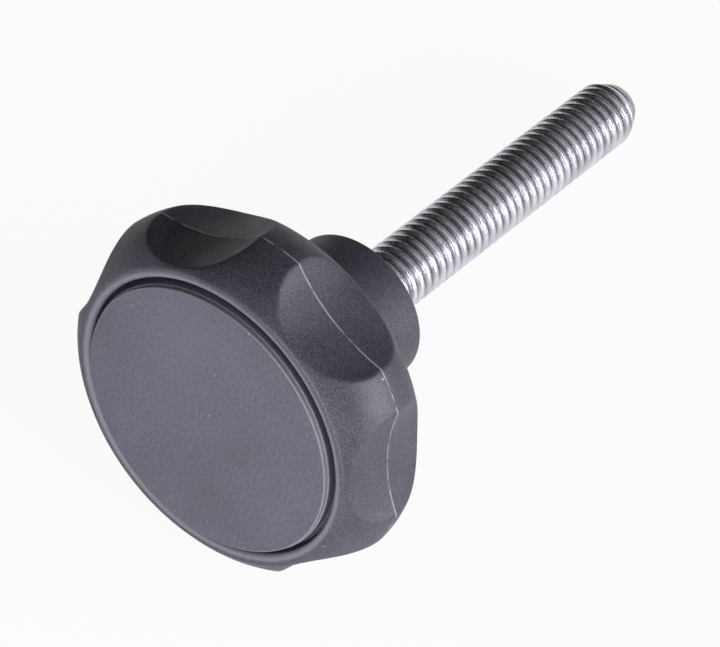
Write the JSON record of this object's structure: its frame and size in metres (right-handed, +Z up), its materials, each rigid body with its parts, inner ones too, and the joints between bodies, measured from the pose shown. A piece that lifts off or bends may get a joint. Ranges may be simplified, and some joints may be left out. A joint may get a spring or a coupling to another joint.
{
  "type": "lobed clamping knob with stud",
  "caption": "Lobed plastic clamping knob on a threaded steel stud, turned by hand to clamp, lock or adjust a fixture.",
  "frame": {"origin": "centre of the hub's seat face, on the axis of the stud", "axes": "+Z up with the knob lying on two lobes and on the end of its stud; +X level, towards the stud's tip; the stud dips 14.1 degrees below +X"},
  "size_m": [0.0589, 0.0322, 0.031],
  "materials": {
    "body_plastic": "black moulded plastic, fine matt texture",
    "cap_plastic": "black moulded plastic, smooth satin",
    "stud_steel": "bright zinc plated, rolled thread"
  },
  "bodies": {
    "root": {"knob_body": "body_plastic", "cap": "cap_plastic", "stud": "stud_steel"}
  },
  "joints": []
}
